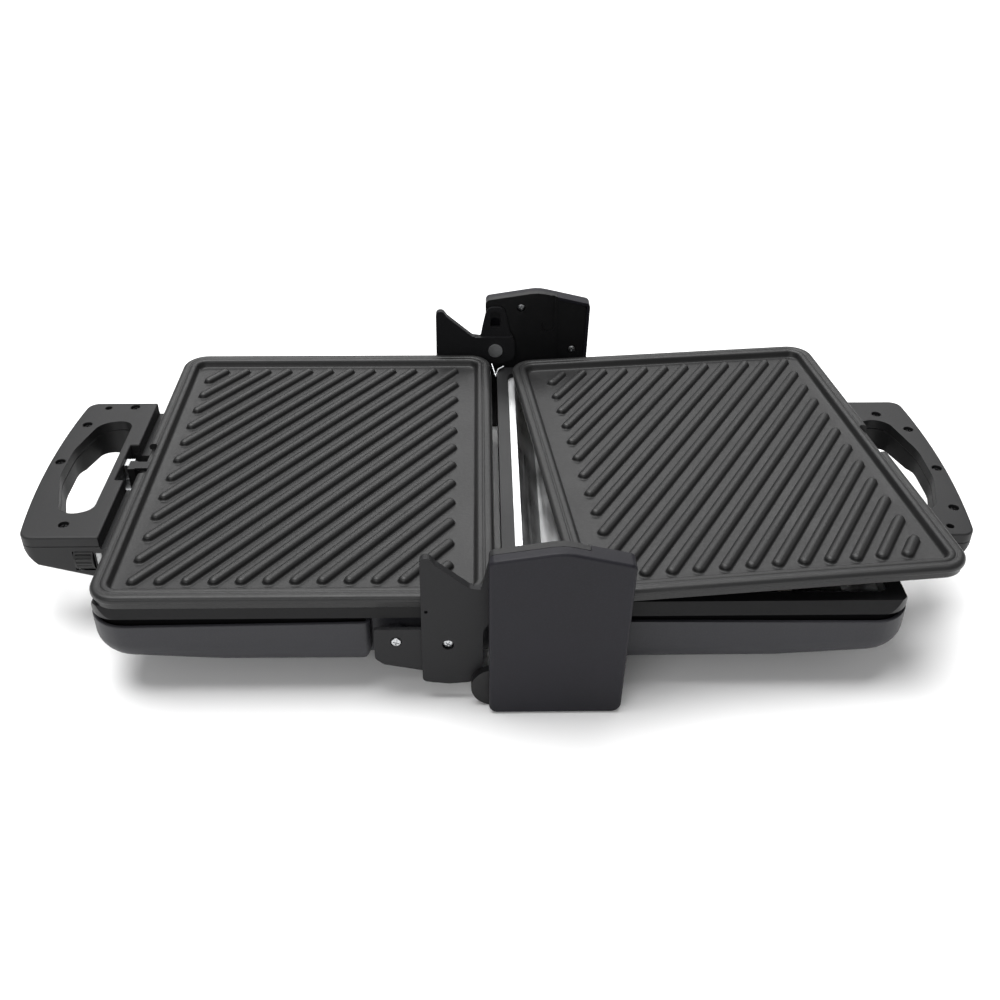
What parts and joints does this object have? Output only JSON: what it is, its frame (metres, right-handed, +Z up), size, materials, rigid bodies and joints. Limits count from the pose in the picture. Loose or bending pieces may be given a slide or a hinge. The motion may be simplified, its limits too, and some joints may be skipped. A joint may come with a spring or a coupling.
{
  "type": "panini press",
  "caption": "Contact grill that opens flat, with removable ribbed plates, looped handles and a floating hinge between two side towers.",
  "frame": {"origin": "centre of the object's bounding box on the table plane, under the hinge axis, with the lid open flat", "axes": "+X from the hinge to the base handle, +Y along the hinge axis towards the rear tower, +Z up"},
  "size_m": [0.604, 0.336, 0.1184],
  "materials": {
    "shell_plastic": "fine moulded texture",
    "tower_plastic": "fine moulded texture",
    "black_plastic": "moulded, heat resistant",
    "arm_plastic": "moulded, glass filled",
    "handle_plastic": "fine moulded texture",
    "wheel_plastic": "moulded ridges",
    "nonstick_plate": "satin dark non-stick coating on cast aluminium",
    "bright_reflector": "bright rolled sheet",
    "heater_sheath": "heat-tinted dull sheath",
    "ceramic": "unglazed ceramic",
    "steel_parts": "plain zinc-plated steel",
    "screws": "zinc-plated",
    "black_screws": "black oxide finish",
    "rubber_feet": "matte rubber",
    "lens": "clear glossy lens"
  },
  "bodies": {
    "base": {"base_shell": "shell_plastic", "base_frame": "black_plastic", "base_reflector": "bright_reflector", "base_heater": "heater_sheath", "base_heater_supports": "ceramic", "base_plate_clip": "steel_parts", "base_handle_top": "handle_plastic", "base_handle_bottom": "handle_plastic", "base_handle_screws": "black_screws", "base_feet": "rubber_feet", "inlet_gland": "black_plastic", "terminal_block": "ceramic", "thermal_fuse": "ceramic", "front_tower_plate": "black_plastic", "front_tower_cover": "tower_plastic", "rear_tower_plate": "black_plastic", "rear_tower_cover": "tower_plastic", "tower_screws": "screws", "boss_screws": "screws", "rear_wire_form": "steel_parts"},
    "loose_plate": {"base_plate": "nonstick_plate"},
    "hinge_carriage": {"front_hinge_pin": "steel_parts", "rear_hinge_pin": "steel_parts"},
    "lid": {"lid_shell": "shell_plastic", "lid_frame": "black_plastic", "lid_reflector": "bright_reflector", "lid_heater": "heater_sheath", "lid_heater_supports": "ceramic", "lid_plate": "nonstick_plate", "lid_latch_guide": "steel_parts", "lid_handle_top": "handle_plastic", "lid_handle_bottom": "handle_plastic", "lid_handle_screws": "black_screws", "lid_rests": "rubber_feet", "front_hinge_arm": "arm_plastic", "rear_hinge_arm": "arm_plastic", "arm_screws": "screws", "thermostat": "steel_parts", "indicator_lens": "lens"},
    "latch": {"lid_latch": "black_plastic"},
    "thermostat_wheel": {"thermostat_wheel": "wheel_plastic"}
  },
  "joints": [
    {"name": "lid_float", "type": "slide", "parent": "base", "child": "hinge_carriage", "axis": [0, 0, 1], "range_m": [0, 0.022]},
    {"name": "lid_hinge", "type": "hinge", "parent": "hinge_carriage", "child": "lid", "pos_m": [0, 0, 0.073], "axis": [0, 1, 0], "range_deg": [0, 180]},
    {"name": "plate_seating", "type": "hinge", "parent": "base", "child": "loose_plate", "pos_m": [0.1335, 0.2034, 0.0755], "axis": [-0.2672, 0, 0.9636], "range_deg": [-6.31, 0]},
    {"name": "latch_slide", "type": "slide", "parent": "lid", "child": "latch", "axis": [-1, 0, 0], "range_m": [0, 0.0055], "stiffness_N_per_m": 200, "springref_m": -0.003},
    {"name": "thermostat_turn", "type": "hinge", "parent": "lid", "child": "thermostat_wheel", "pos_m": [-0.2585, -0.074, 0.049], "axis": [1, 0, 0], "range_deg": [0, 270]}
  ],
  "couplings": [
    {"joint": "plate_seating", "follows": "lid_hinge", "ratio": -0.035}
  ]
}
